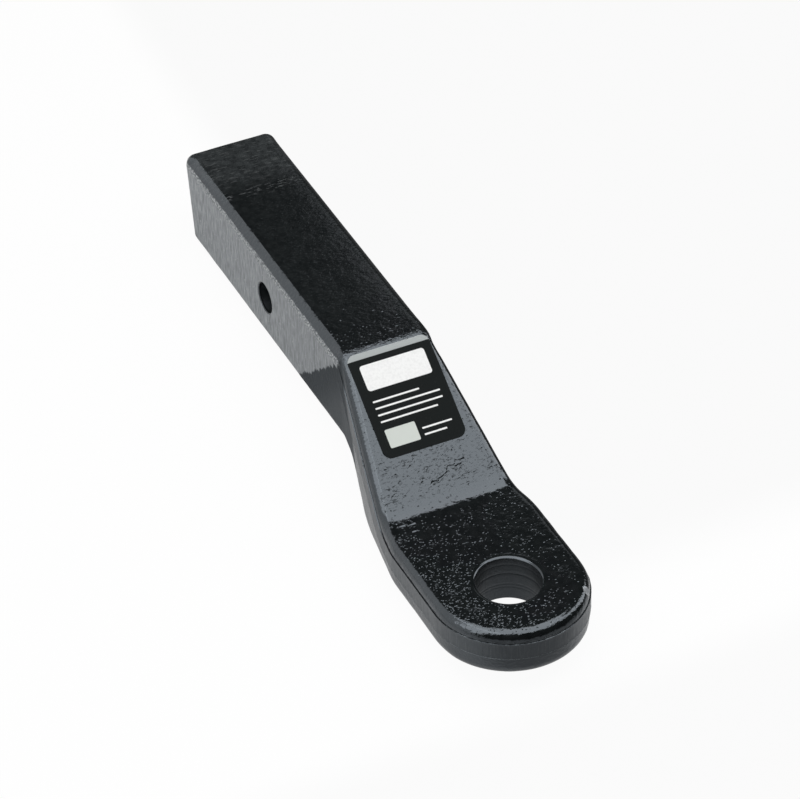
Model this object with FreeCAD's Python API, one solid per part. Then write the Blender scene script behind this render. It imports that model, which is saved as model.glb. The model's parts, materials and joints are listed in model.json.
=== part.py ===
import FreeCAD, Part
import math
import os

V = FreeCAD.Vector

# Shank: a 2 in square bar that slides into a receiver tube, its cropped end leaning in towards the bottom
SHANK_WIDTH = 50.8
PIN_TO_END = 100.0
END_LEAN_DEGREES = 10.0

# Round on the edges of the end face and on the four long edges, from the shank to the nose
EDGE_RADIUS = 5.5

# Hitch pin hole across the shank
PIN_DIAMETER = 15.875
PIN_CLEARANCE = 0.8
PIN_HOLE_BREAK = 0.5

# Gooseneck, seen from the side: upper line
PIN_TO_BREAK = 90.0
NECK_RUN = 71.4
DROP = 49.5
UPPER_BREAK_RADIUS = 14.0
TONGUE_START_RADIUS = 19.5

# Gooseneck, seen from the side: lower line
LOWER_BREAK_SETBACK = 18.8
HEEL_RUN = 24.7
LOWER_BREAK_RADIUS = 15.5
HEEL_RADIUS = 23.5

# Tongue with the ball hole, nose concentric with the hole
TONGUE_THICKNESS = 26.5
TONGUE_HALF_WIDTH = 39.4
TONGUE_START_TO_BALL = 64.6
BALL_SHANK_DIAMETER = 31.75
BALL_CLEARANCE = 0.75
BALL_HOLE_BREAK = 1.3

# Flare, seen from above: it begins past the upper break and ends past the tongue's start
FLARE_DELAY = 2.0
FLARE_OVERRUN = 16.1
FLARE_START_RADIUS = 45.0
FLARE_END_RADIUS = 60.0

# Flash band left by the trimming die, proud of the sides
BAND_PROUD = 0.6
BAND_DEPTH = 6.0
BAND_HEIGHT = 9.5
BAND_ROOT_LENGTH = 6.5
BAND_ROOT_INSET = 0.4
BAND_BEND_RADIUS = 3.0

# Label on the slope
LABEL_FILM = 0.2
LABEL_LENGTH = 55.7
LABEL_WIDTH = 44.8
LABEL_CORNER = 4.5
LABEL_START = 1.6

# Overshoot of cutting and trimming tools
TOOL_MARGIN = 10.0

HALF_SHANK = SHANK_WIDTH / 2
TONGUE_START_X = PIN_TO_BREAK + NECK_RUN
LOWER_BREAK_X = PIN_TO_BREAK + LOWER_BREAK_SETBACK
HEEL_X = LOWER_BREAK_X + HEEL_RUN
FLARE_START_X = PIN_TO_BREAK + FLARE_DELAY
FLARE_END_X = TONGUE_START_X + FLARE_OVERRUN
BALL_HOLE_X = TONGUE_START_X + TONGUE_START_TO_BALL
TONGUE_TOP_Z = HALF_SHANK - DROP
TONGUE_BOTTOM_Z = TONGUE_TOP_Z - TONGUE_THICKNESS
FRONT_X = BALL_HOLE_X + TONGUE_HALF_WIDTH
BEYOND_X = FRONT_X + TOOL_MARGIN
PIN_HOLE_RADIUS = (PIN_DIAMETER + PIN_CLEARANCE) / 2
BALL_HOLE_RADIUS = (BALL_SHANK_DIAMETER + BALL_CLEARANCE) / 2
SLOPE = math.atan2(DROP, NECK_RUN)
END_LEAN = HALF_SHANK * math.tan(math.radians(END_LEAN_DEGREES))

UPPER_LINE = [
    (-PIN_TO_END - END_LEAN, HALF_SHANK),
    (PIN_TO_BREAK, HALF_SHANK),
    (TONGUE_START_X, TONGUE_TOP_Z),
    (BEYOND_X, TONGUE_TOP_Z),
]
LOWER_LINE = [
    (-PIN_TO_END + END_LEAN, -HALF_SHANK),
    (LOWER_BREAK_X, -HALF_SHANK),
    (HEEL_X, TONGUE_BOTTOM_Z),
    (BEYOND_X, TONGUE_BOTTOM_Z),
]
SIDE_LINE = [
    (-PIN_TO_END - END_LEAN - TOOL_MARGIN, HALF_SHANK),
    (FLARE_START_X, HALF_SHANK),
    (FLARE_END_X, TONGUE_HALF_WIDTH),
    (BALL_HOLE_X, TONGUE_HALF_WIDTH),
]


def side_view(point):
    return V(point[0], 0, point[1])


def top_view(point):
    return V(point[0], point[1], 0)


def offset_line(points, distance):
    """The open polyline shifted to its left by distance, corners mitred."""
    headings = []
    for start, end in zip(points, points[1:]):
        headings.append(math.atan2(end[1] - start[1], end[0] - start[0]))
    before = headings[:1] + headings
    after = headings + headings[-1:]
    shifted = []
    for point, first, second in zip(points, before, after):
        middle = (first + second) / 2
        reach = distance / math.cos((second - first) / 2)
        shifted.append((point[0] - reach * math.sin(middle), point[1] + reach * math.cos(middle)))
    return shifted


def rounded_edges(points, radii, view):
    """Edges along the polyline, with a tangent arc of the given radius at each inner corner."""
    edges = []
    last = V(*points[0])
    for before, corner, after, radius in zip(points, points[1:], points[2:], radii):
        corner = V(*corner)
        back = (V(*before) - corner).normalize()
        ahead = (V(*after) - corner).normalize()
        half_angle = back.getAngle(ahead) / 2
        run_in = corner + back * (radius / math.tan(half_angle))
        run_out = corner + ahead * (radius / math.tan(half_angle))
        bisector = (back + ahead).normalize()
        crown = corner + bisector * (radius / math.sin(half_angle) - radius)
        edges.append(Part.makeLine(view(last), view(run_in)))
        edges.append(Part.Arc(view(run_in), view(crown), view(run_out)).toShape())
        last = run_out
    edges.append(Part.makeLine(view(last), view(points[-1])))
    return edges


def closed_face(edges):
    return Part.Face(Part.Wire(Part.__sortEdges__(edges)))


def joined_ends(first, second, view):
    return [
        Part.makeLine(view(first[0]), view(second[0])),
        Part.makeLine(view(first[-1]), view(second[-1])),
    ]


def side_slab(upper, upper_radii, lower, lower_radii, half_width):
    """Solid between two lines of the side view, across the width."""
    edges = rounded_edges(upper, upper_radii, side_view)
    edges += rounded_edges(lower, lower_radii, side_view)
    edges += joined_ends(upper, lower, side_view)
    face = closed_face(edges)
    face.translate(V(0, -half_width, 0))
    return face.extrude(V(0, 2 * half_width, 0))


def plan_column(line, radii):
    """Upright solid inside the plan outline: the line, its mirror image and the nose arc."""
    mirrored = [(x, -y) for x, y in line]
    centre_x, radius = line[-1]
    nose = Part.Arc(top_view(line[-1]), V(centre_x + radius, 0, 0), top_view(mirrored[-1])).toShape()
    edges = rounded_edges(line, radii, top_view) + rounded_edges(mirrored, radii, top_view)
    edges += [nose, Part.makeLine(top_view(line[0]), top_view(mirrored[0]))]
    face = closed_face(edges)
    face.translate(V(0, 0, TONGUE_BOTTOM_Z - TOOL_MARGIN))
    return face.extrude(V(0, 0, HALF_SHANK - TONGUE_BOTTOM_Z + 2 * TOOL_MARGIN))


def runs_along(edge, axis):
    if not isinstance(edge.Curve, Part.Line):
        return False
    return edge.tangentAt(edge.FirstParameter).cross(axis).Length < 1e-6


def outer_edges(solid):
    """The sharp edges: all but the lines where a bend or a side's curve begins or ends."""
    across = V(0, 1, 0)
    upright = V(0, 0, 1)
    edges = []
    for edge in solid.Edges:
        bend_line = runs_along(edge, across) and edge.CenterOfMass.x > 0
        if not bend_line and not runs_along(edge, upright):
            edges.append(edge)
    return edges


def bar_body(growth):
    """The filleted bar before its holes and band, its top, bottom and sides moved out by growth."""
    upper_radii = [UPPER_BREAK_RADIUS + growth, TONGUE_START_RADIUS - growth]
    lower_radii = [LOWER_BREAK_RADIUS - growth, HEEL_RADIUS + growth]
    flare_radii = [FLARE_START_RADIUS - growth, FLARE_END_RADIUS + growth]
    slab = side_slab(
        offset_line(UPPER_LINE, growth),
        upper_radii,
        offset_line(LOWER_LINE, -growth),
        lower_radii,
        TONGUE_HALF_WIDTH + TOOL_MARGIN,
    )
    body = slab.common(plan_column(offset_line(SIDE_LINE, growth), flare_radii)).Solids[0]
    return body.makeFillet(EDGE_RADIUS + growth, outer_edges(body))


def flash_band():
    """Band at an even depth under the upper line, rising out of the shank's side."""
    root_x = FLARE_START_X - BAND_ROOT_LENGTH
    band_line = [
        (root_x, HALF_SHANK - BAND_ROOT_INSET),
        (FLARE_END_X, TONGUE_HALF_WIDTH + BAND_PROUD),
        (BALL_HOLE_X, TONGUE_HALF_WIDTH + BAND_PROUD),
    ]
    bends = [UPPER_BREAK_RADIUS, -TONGUE_START_RADIUS]
    bounds = []
    for depth in (BAND_DEPTH, BAND_DEPTH + BAND_HEIGHT):
        radii = [max(abs(bend - depth), BAND_BEND_RADIUS) for bend in bends]
        bounds += [offset_line(UPPER_LINE, -depth), radii]
    slab = side_slab(*bounds, TONGUE_HALF_WIDTH + TOOL_MARGIN)
    return slab.common(plan_column(band_line, [FLARE_END_RADIUS + BAND_PROUD]))


def through_hole(centre, axis, radius, length, edge_break):
    """Cutting tool of a straight hole with a chamfer at both mouths."""
    start = centre - axis * (length / 2)
    tool = Part.makeCylinder(radius, length + 2 * TOOL_MARGIN, start - axis * TOOL_MARGIN, axis)
    mouths = []
    for face_centre, inward in ((start, axis), (centre + axis * (length / 2), -axis)):
        base = face_centre - inward * edge_break
        mouths.append(Part.makeCone(radius + 2 * edge_break, radius, 2 * edge_break, base, inward))
    return tool.fuse(mouths)


def drawbar_forging():
    body = bar_body(0).fuse(flash_band()).removeSplitter()
    pin_hole = through_hole(V(0, 0, 0), V(0, 1, 0), PIN_HOLE_RADIUS, SHANK_WIDTH, PIN_HOLE_BREAK)
    tongue_middle = V(BALL_HOLE_X, 0, (TONGUE_TOP_Z + TONGUE_BOTTOM_Z) / 2)
    ball_hole = through_hole(tongue_middle, V(0, 0, 1), BALL_HOLE_RADIUS, TONGUE_THICKNESS, BALL_HOLE_BREAK)
    return body.cut([pin_hole, ball_hole]).Solids[0]


def label():
    """Film that follows the slope, the break above it and the edge rounds beside it."""
    half_width = LABEL_WIDTH / 2
    outline = Part.makePlane(LABEL_LENGTH, LABEL_WIDTH, V(LABEL_START, -half_width, -EDGE_RADIUS))
    column = outline.extrude(V(0, 0, 2 * EDGE_RADIUS))
    upright = V(0, 0, 1)
    column = column.makeFillet(LABEL_CORNER, [edge for edge in column.Edges if runs_along(edge, upright)])
    column.rotate(V(0, 0, 0), V(0, 1, 0), math.degrees(SLOPE))
    column.translate(V(PIN_TO_BREAK, 0, HALF_SHANK))
    return column.common(bar_body(LABEL_FILM)).cut(bar_body(0)).Solids[0]


os.makedirs("parts", exist_ok=True)
drawbar_forging().exportStep("parts/drawbar_forging.step")
label().exportStep("parts/label.step")
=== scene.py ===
import json
import math

import bmesh
import bpy
import numpy as np
from mathutils import Matrix, Vector, noise


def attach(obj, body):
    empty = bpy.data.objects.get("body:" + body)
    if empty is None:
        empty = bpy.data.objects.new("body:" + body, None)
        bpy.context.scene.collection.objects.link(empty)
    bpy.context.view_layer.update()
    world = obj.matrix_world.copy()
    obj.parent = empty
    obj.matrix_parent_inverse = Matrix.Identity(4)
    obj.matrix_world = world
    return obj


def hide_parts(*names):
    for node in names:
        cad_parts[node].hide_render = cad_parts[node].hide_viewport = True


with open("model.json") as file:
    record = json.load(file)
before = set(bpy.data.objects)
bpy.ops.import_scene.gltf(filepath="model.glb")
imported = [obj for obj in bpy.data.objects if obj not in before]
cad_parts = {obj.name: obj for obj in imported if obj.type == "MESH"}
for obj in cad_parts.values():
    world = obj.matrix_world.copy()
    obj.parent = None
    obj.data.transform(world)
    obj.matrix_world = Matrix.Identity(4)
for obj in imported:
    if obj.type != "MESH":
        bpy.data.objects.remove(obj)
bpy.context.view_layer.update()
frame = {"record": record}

MM = 0.001
FORGING = "drawbar_forging"
LABEL = "label"
BODY = "root"

# Bar sizes in millimetres, in the frame of the solids
SHANK_WIDTH = 50.8
PIN_TO_END = 100.0
END_LEAN = math.radians(10.0)
EDGE_RADIUS = 5.5
PIN_TO_BREAK = 90.0
NECK_RUN = 71.4
DROP = 49.5
UPPER_BREAK_RADIUS = 14.0
TONGUE_START_RADIUS = 19.5
LOWER_BREAK_SETBACK = 18.8
HEEL_RUN = 24.7
LOWER_BREAK_RADIUS = 15.5
HEEL_RADIUS = 23.5
TONGUE_THICKNESS = 26.5
TONGUE_HALF_WIDTH = 39.4
FLARE_DELAY = 2.0
FLARE_OVERRUN = 16.1
FLARE_START_RADIUS = 45.0
FLARE_END_RADIUS = 60.0
BAND_PROUD = 0.6
BAND_DEPTH = 6.0
BAND_HEIGHT = 9.5
BAND_ROOT_LENGTH = 6.5
BAND_ROOT_INSET = 0.4
BAND_BEND_RADIUS = 3.0
PIN_HOLE_BREAK = 0.5
BALL_HOLE_BREAK = 1.3
PIN_MOUTH_WIDTH = 0.8
BALL_MOUTH_WIDTH = 1.9

HALF_SHANK = SHANK_WIDTH / 2
TONGUE_TOP = HALF_SHANK - DROP
TONGUE_BOTTOM = TONGUE_TOP - TONGUE_THICKNESS
TONGUE_START = PIN_TO_BREAK + NECK_RUN
LOWER_BREAK = PIN_TO_BREAK + LOWER_BREAK_SETBACK
HEEL = LOWER_BREAK + HEEL_RUN
FLARE_START = PIN_TO_BREAK + FLARE_DELAY
FLARE_END = TONGUE_START + FLARE_OVERRUN
SLOPE = math.atan2(DROP, NECK_RUN)
MOUNTS = {mount["name"]: mount for mount in frame["record"]["mounts"]}
PIN_RADIUS = MOUNTS["hitch_pin_hole"]["dims"]["r_mm"]
BALL_RADIUS = MOUNTS["ball_hole"]["dims"]["r_mm"]
BALL_X = MOUNTS["ball_hole"]["pos_m"][0] / MM

# The outlines run past both ends of the bar, so that every station falls on them
FAR_BACK = -PIN_TO_END - SHANK_WIDTH
FAR_FRONT = BALL_X + 2 * TONGUE_HALF_WIDTH
UPPER_LINE = [
    (FAR_BACK, HALF_SHANK), (PIN_TO_BREAK, HALF_SHANK), (TONGUE_START, TONGUE_TOP), (FAR_FRONT, TONGUE_TOP),
]
LOWER_LINE = [
    (FAR_BACK, -HALF_SHANK), (LOWER_BREAK, -HALF_SHANK), (HEEL, TONGUE_BOTTOM), (FAR_FRONT, TONGUE_BOTTOM),
]
SIDE_LINE = [
    (FAR_BACK, HALF_SHANK), (FLARE_START, HALF_SHANK),
    (FLARE_END, TONGUE_HALF_WIDTH), (FAR_FRONT, TONGUE_HALF_WIDTH),
]
BAND_LINE = [
    (FLARE_START - BAND_ROOT_LENGTH, HALF_SHANK - BAND_ROOT_INSET),
    (FLARE_END, TONGUE_HALF_WIDTH + BAND_PROUD),
    (FAR_FRONT, TONGUE_HALF_WIDTH + BAND_PROUD),
]

# Mesh steps
SHANK_STEP = 1.0
NECK_STEP = 0.7
NOSE_STEPS = 140
TOP_STEPS = 40
ROUND_STEPS = 7
COLLAR_STEPS = 1
BAND_STEPS = 8
LOWER_SIDE_STEPS = 17
BOTTOM_STEPS = 9
END_ROUND_STEPS = 8
END_FACE_STEPS = 14
SQUARE_STATION = 60.0
HOLE_SEGMENTS = 128
PIN_WALL_STEPS = 12
BALL_WALL_STEPS = 64
MOUTH_STEPS = 7
MOUTH_START = math.radians(10.0)
SHARP_ANGLE = math.radians(26.0)


def offset_line(points, distance):
    """The open line shifted to its left, corners mitred."""
    points = np.array(points)
    runs = np.diff(points, axis=0)
    headings = np.arctan2(runs[:, 1], runs[:, 0])
    before = np.concatenate([headings[:1], headings])
    after = np.concatenate([headings, headings[-1:]])
    middle = (before + after) / 2
    reach = distance / np.cos((after - before) / 2)
    return points + np.stack([-reach * np.sin(middle), reach * np.cos(middle)], axis=1)


def bent_line(points, radii, x):
    """Height and slope at x of a line whose inner corners are rounded."""
    points = np.array(points)
    runs = np.diff(points, axis=0)
    slopes = runs[:, 1] / runs[:, 0]
    height = np.interp(x, points[:, 0], points[:, 1])
    slope = slopes[np.searchsorted(points[1:-1, 0], x)]
    for corner, before, after, radius in zip(points[1:-1], slopes, slopes[1:], radii):
        turn = math.atan(after) - math.atan(before)
        bend = math.copysign(1.0, turn)
        reach = radius * math.tan(abs(turn) / 2)
        start = corner - reach * np.array([1, before]) / math.hypot(1, before)
        end = corner + reach * np.array([1, after]) / math.hypot(1, after)
        centre = start + bend * radius * np.array([-before, 1]) / math.hypot(1, before)
        inside = (x > start[0]) & (x < end[0])
        rise = np.sqrt(np.maximum(radius ** 2 - (x - centre[0]) ** 2, 1e-9))
        height = np.where(inside, centre[1] - bend * rise, height)
        slope = np.where(inside, bend * (x - centre[0]) / rise, slope)
    return height, slope


def band_edge(depth, x):
    """Height of the line at an even depth under the upper line."""
    radii = [max(UPPER_BREAK_RADIUS - depth, BAND_BEND_RADIUS), TONGUE_START_RADIUS + depth]
    return bent_line(offset_line(UPPER_LINE, -depth), radii, x)[0]


def side_width(x):
    return bent_line(SIDE_LINE, [FLARE_START_RADIUS, FLARE_END_RADIUS], x)[0]


def band_stand(x):
    """How far the flash band stands out of the side."""
    width = bent_line(BAND_LINE, [FLARE_END_RADIUS + BAND_PROUD], x)[0]
    return np.where(x < BAND_LINE[0][0], 0.0, np.maximum(width - side_width(x), 0.0))


def unit(vectors):
    return vectors / np.linalg.norm(vectors, axis=-1, keepdims=True)


def turned(start, end, share):
    """Unit vectors part of the way from start to end."""
    angle = np.arccos(np.clip(np.sum(start * end, axis=-1, keepdims=True), -1, 1))
    return (np.sin((1 - share) * angle) * start + np.sin(share * angle) * end) / np.sin(angle)


def half_sections(x):
    """Half sections at the stations x, from the middle of the top round to the middle of the bottom."""
    radius = EDGE_RADIUS
    top, top_slope = bent_line(
        offset_line(UPPER_LINE, -radius), [UPPER_BREAK_RADIUS - radius, TONGUE_START_RADIUS + radius], x)
    bottom, bottom_slope = bent_line(
        offset_line(LOWER_LINE, radius), [LOWER_BREAK_RADIUS + radius, HEEL_RADIUS - radius], x)
    wide, wide_slope = bent_line(
        offset_line(SIDE_LINE, -radius), [FLARE_START_RADIUS + radius, FLARE_END_RADIUS - radius], x)
    flat = np.zeros_like(x)
    one = np.ones_like(x)
    up = unit(np.stack([-top_slope, flat, one], axis=-1))
    down = unit(np.stack([bottom_slope, flat, -one], axis=-1))
    out = unit(np.stack([-wide_slope, one, flat], axis=-1))
    side_x = x + radius * out[:, 0]
    collar = band_edge(BAND_DEPTH, side_x)
    foot = band_edge(BAND_DEPTH + BAND_HEIGHT, side_x)
    stand = band_stand(side_x)
    core, facing, proud = [], [], []

    def column(y, z, direction, extra=0.0):
        core.append(np.stack([x, y, z], axis=-1))
        facing.append(direction)
        proud.append(extra * one)

    for share in np.linspace(0, 1, TOP_STEPS + 1):
        column(wide * share, top, up)
    for share in np.linspace(0, 1, ROUND_STEPS + 1)[1:]:
        column(wide, top, turned(up, out, share))
    for share in np.linspace(0, 1, COLLAR_STEPS + 1)[1:]:
        column(wide, top + (collar - top) * share, out)
    for share in np.linspace(0, 1, BAND_STEPS + 1):
        column(wide, collar + (foot - collar) * share, out, stand)
    for share in np.linspace(0, 1, LOWER_SIDE_STEPS + 1):
        column(wide, foot + (bottom - foot) * share, out)
    for share in np.linspace(0, 1, ROUND_STEPS + 1)[1:]:
        column(wide, bottom, turned(out, down, share))
    for share in np.linspace(1, 0, BOTTOM_STEPS + 1)[1:]:
        column(wide * share, bottom, down)
    return np.stack(core, axis=1), np.stack(facing, axis=1), np.stack(proud, axis=1)


def bar_rows():
    """Rows of points that wrap the bar: up one side, round the nose and back down the other side."""
    end_core = -PIN_TO_END + EDGE_RADIUS / math.cos(END_LEAN)
    shank = np.arange(end_core, SQUARE_STATION, SHANK_STEP)
    neck = np.linspace(SQUARE_STATION, BALL_X, int((BALL_X - SQUARE_STATION) / NECK_STEP))
    stations = np.concatenate([shank, neck])
    core, facing, proud = half_sections(stations)
    share = np.clip((SQUARE_STATION - stations) / (SQUARE_STATION - end_core), 0, 1)
    core[:, :, 0] -= share[:, None] * math.tan(END_LEAN) * core[:, :, 2]
    sections = core + facing * (EDGE_RADIUS + proud)[:, :, None]
    behind = np.array([-math.cos(END_LEAN), 0, -math.sin(END_LEAN)])
    rounding = [core[0] + EDGE_RADIUS * turned(facing[0], behind, step)
                for step in np.linspace(1, 0, END_ROUND_STEPS + 1)[:-1]]
    middle = np.array([-PIN_TO_END, 0, 0])
    face = [middle + (rounding[0] - middle) * step for step in np.linspace(0, 1, END_FACE_STEPS + 1)[:-1]]
    one_side = np.concatenate([face, rounding, sections])
    turns = np.linspace(math.pi / 2, -math.pi / 2, NOSE_STEPS + 1)[1:-1]
    reach = sections[-1, :, 1]
    nose = np.stack([
        BALL_X + np.cos(turns)[:, None] * reach,
        np.sin(turns)[:, None] * reach,
        np.broadcast_to(sections[-1, :, 2], (len(turns), len(reach))),
    ], axis=-1)
    other_side = one_side[::-1] * np.array([1, -1, 1])
    return np.concatenate([one_side, nose, other_side])


def grid_mesh(name, rows):
    """Mesh of quads over rows of points in millimetres, with points that meet joined."""
    count, width = rows.shape[:2]
    first = (np.arange(count - 1)[:, None] * width + np.arange(width - 1)).ravel()
    quads = np.stack([first, first + 1, first + width + 1, first + width], axis=1)
    mesh = bpy.data.meshes.new(name)
    mesh.from_pydata((rows.reshape(-1, 3) * MM).tolist(), [], quads.tolist())
    bm = bmesh.new()
    bm.from_mesh(mesh)
    bmesh.ops.remove_doubles(bm, verts=bm.verts, dist=0.01 * MM)
    bmesh.ops.recalc_face_normals(bm, faces=bm.faces)
    bm.to_mesh(mesh)
    bm.free()
    return mesh


def drill(name, radius, wall, mouth_width, mouth_depth):
    """Solid of a hole along its own Z: a wall through the given heights that rounds out at both mouths."""
    turns = np.linspace(math.pi / 2, MOUTH_START, MOUTH_STEPS + 1)
    flare = radius + mouth_width * (1 - np.sin(turns))
    rise = mouth_depth * np.cos(turns)
    flare = np.append(flare, flare[-1] + 3 * mouth_width)
    rise = np.append(rise, rise[-1] + 3 * mouth_depth * math.tan(MOUTH_START))
    reach = np.concatenate([[0], flare[::-1], np.full(len(wall) - 2, radius), flare, [0]])
    heights = np.concatenate([wall[0] - rise[::-1], wall[1:-1], wall[-1] + rise])
    heights = np.concatenate([heights[:1], heights, heights[-1:]])
    angles = np.linspace(0, 2 * math.pi, HOLE_SEGMENTS + 1)
    rows = np.stack([
        np.cos(angles)[:, None] * reach,
        np.sin(angles)[:, None] * reach,
        np.broadcast_to(heights, (len(angles), len(heights))),
    ], axis=-1)
    return grid_mesh(name, rows)


def cut_hole(bar, mount, wall_steps, mouth_width, mouth_depth):
    """Cuts the hole of a mount out of the bar; the steps along its wall run from -1 to 1."""
    wall = wall_steps * mount["dims"]["length_mm"] / 2
    tool_mesh = drill(mount["name"], mount["dims"]["r_mm"], wall, mouth_width, mouth_depth)
    tool = bpy.data.objects.new(mount["name"], tool_mesh)
    bpy.context.scene.collection.objects.link(tool)
    turn = Vector(mount["axis"]).to_track_quat("Z", "Y").to_matrix().to_4x4()
    tool.matrix_world = Matrix.Translation(mount["pos_m"]) @ turn
    modifier = bar.modifiers.new(mount["name"], "BOOLEAN")
    modifier.operation = "DIFFERENCE"
    modifier.solver = "EXACT"
    modifier.object = tool
    bpy.context.view_layer.update()
    shaped = bpy.data.meshes.new_from_object(bar.evaluated_get(bpy.context.evaluated_depsgraph_get()))
    bar.modifiers.remove(modifier)
    bar.data = shaped
    bpy.data.objects.remove(tool)
    bpy.data.meshes.remove(tool_mesh)


def forged_bar():
    bar = bpy.data.objects.new("forged_bar", grid_mesh("forged_bar", bar_rows()))
    bpy.context.scene.collection.objects.link(bar)
    close_at_mouths = -np.cos(np.linspace(0, math.pi, PIN_WALL_STEPS + 1))
    cut_hole(bar, MOUNTS["hitch_pin_hole"], close_at_mouths, PIN_MOUTH_WIDTH, PIN_HOLE_BREAK)
    even = np.linspace(-1, 1, BALL_WALL_STEPS + 1)
    cut_hole(bar, MOUNTS["ball_hole"], even, BALL_MOUTH_WIDTH, BALL_HOLE_BREAK)
    return bar


# Forged surface: how deep each mark goes, in millimetres, always into the metal
SWELL_DEPTH, SWELL_SIZE = 0.22, 9.0
GRAIN_DEPTH, GRAIN_SIZE = 0.05, 2.6
PIT_DEPTH, PIT_SIZE, PIT_EDGE = 0.12, 2.0, (0.18, 0.55)
SCAR_PLACE, SCAR_DEPTH, SCAR_WIDTH = -56.0, 0.12, 0.9
SHEAR_DEPTH, SHEAR_SIZE, SHEAR_STRETCH = 0.2, 1.5, 0.12
RAW_STEP = 0.2
FLAT_TILT, FLAT_OFFSET = math.radians(40.0), 4.85
FLAT_RAGGED, FLAT_RAGGED_SIZE, FLAT_STRETCH = 0.5, 1.7, 0.15
CROWN_START, CROWN_BEND = 8.0, 0.005
NICK_TURN, NICK_REACH, NICK_SIZE, NICK_DEPTH, NICK_BELOW = math.radians(55.0), 37.8, 2.0, 0.7, 2.0
NICK_X = BALL_X + NICK_REACH * math.cos(NICK_TURN)
NICK_Y = NICK_REACH * math.sin(NICK_TURN)
NICK_POINT = (NICK_X * MM, NICK_Y * MM, (TONGUE_TOP - NICK_BELOW) * MM)
# Crack in the slope, as distances down it and across it
CRACK_START, CRACK_END = (75.5, -4.4), (68.1, 16.3)
# Flaked patches of the tongue: distance from the pin, distance across, size
FLAKES = [(BALL_X + 14.0, -25.0, 7.0), (BALL_X - 4.0, -27.0, 6.0), (BALL_X + 6.0, 27.0, 6.0)]
# Tool rings in the ball hole: depth under the top, width, cut
BORE_RINGS = [(4.4, 0.4, 0.1), (9.8, 0.7, 0.16), (16.6, 0.5, 0.16), (18.4, 0.5, 0.16)]
# Where the planed part of the shank's side ends, as height and distance from the pin
PLANED_EDGE = [
    (-26.0, 36.0), (-19.0, 43.0), (-8.0, 57.0), (5.0, 72.0), (13.0, 81.0), (18.0, 88.0), (26.0, 91.0),
]
PLANED_RAGGED, PLANED_FADE = 2.2, 0.4
# Where the dull web gives way to the flare, as height and distance from the pin
WEB_EDGE = [(-26.0, 118.0), (-10.0, 112.0), (6.0, 104.0), (14.0, 99.0), (19.0, 95.0), (26.0, 92.0)]

# Finish zones, from where each starts to where it is full: across the bar, up it, or from its upper line
FLANK_REACH = (HALF_SHANK - 0.55, HALF_SHANK - 0.3)
FLANK_TOP = (21.3, 22.2)
BRUISE_HEIGHT = (15.5, 20.5)
WEB_REACH = (HALF_SHANK - 3, HALF_SHANK - 0.5)
TOP_REACH = (-2.5, -0.6)
FLAT_TOP_REACH = (-0.8, -0.2)
BAND_REACH = (-3.0, -0.5)
SHEAR_REACH = (0.55, 0.8)
RIM_FADE = (BALL_RADIUS + 1.6, BALL_RADIUS + 3.0)
# The same from the pin along the bar, or from the upper break down the slope
HAZE_FADE = (SCAR_PLACE - 18, SCAR_PLACE + 3)
# Where the painted sheen over the shank top fades out towards the break
SHEEN_END = (PIN_TO_BREAK - 40, PIN_TO_BREAK - 15)
BREAK_START, BREAK_END = (50, 88), (2, 9)
WEB_SHADE = (72, 98)
SLOPE_START, SLOPE_END = (4, 12), (78, 92)
DASH_START, DASH_END, DASH_RIGHT = (86, 89), (94, 100), (14, 26)
BAND_START = (FLARE_START - 5, FLARE_START + 5)
SAWN_DEPTH = (0.2, 1.0)
# Wrinkled patches of the slope: distance down it, distance across, half length, half width
WRINKLES_MIDDLE = (71.5, 4.0, 8.0, 22.0)
WRINKLES_CORNER = (75.0, 28.0, 6.0, 6.0)
WRINKLE_FADE = (0.4, 1.3)


def grown(value, low, high):
    """Smooth step from 0 at low to 1 at high."""
    share = np.clip((value - low) / (high - low), 0, 1)
    return share * share * (3 - 2 * share)


def mottle(points, size, seed, octaves=1):
    """Seeded smooth noise over points in millimetres, about -1 to 1."""
    size = np.broadcast_to(np.asarray(size, dtype=float), (3,))
    shift = np.array([17.3, -5.1, 9.7]) * seed
    return np.array([noise.fractal(Vector(place), 1.0, 2.0, octaves) for place in points / size + shift])


def upper_height(x):
    return bent_line(UPPER_LINE, [UPPER_BREAK_RADIUS, TONGUE_START_RADIUS], x)[0]


def wrinkle_patch(along, across, patch):
    middle_along, middle_across, half_length, half_width = patch
    reach = np.hypot((along - middle_along) / half_length, (across - middle_across) / half_width)
    return 1 - grown(reach, *WRINKLE_FADE)


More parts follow.
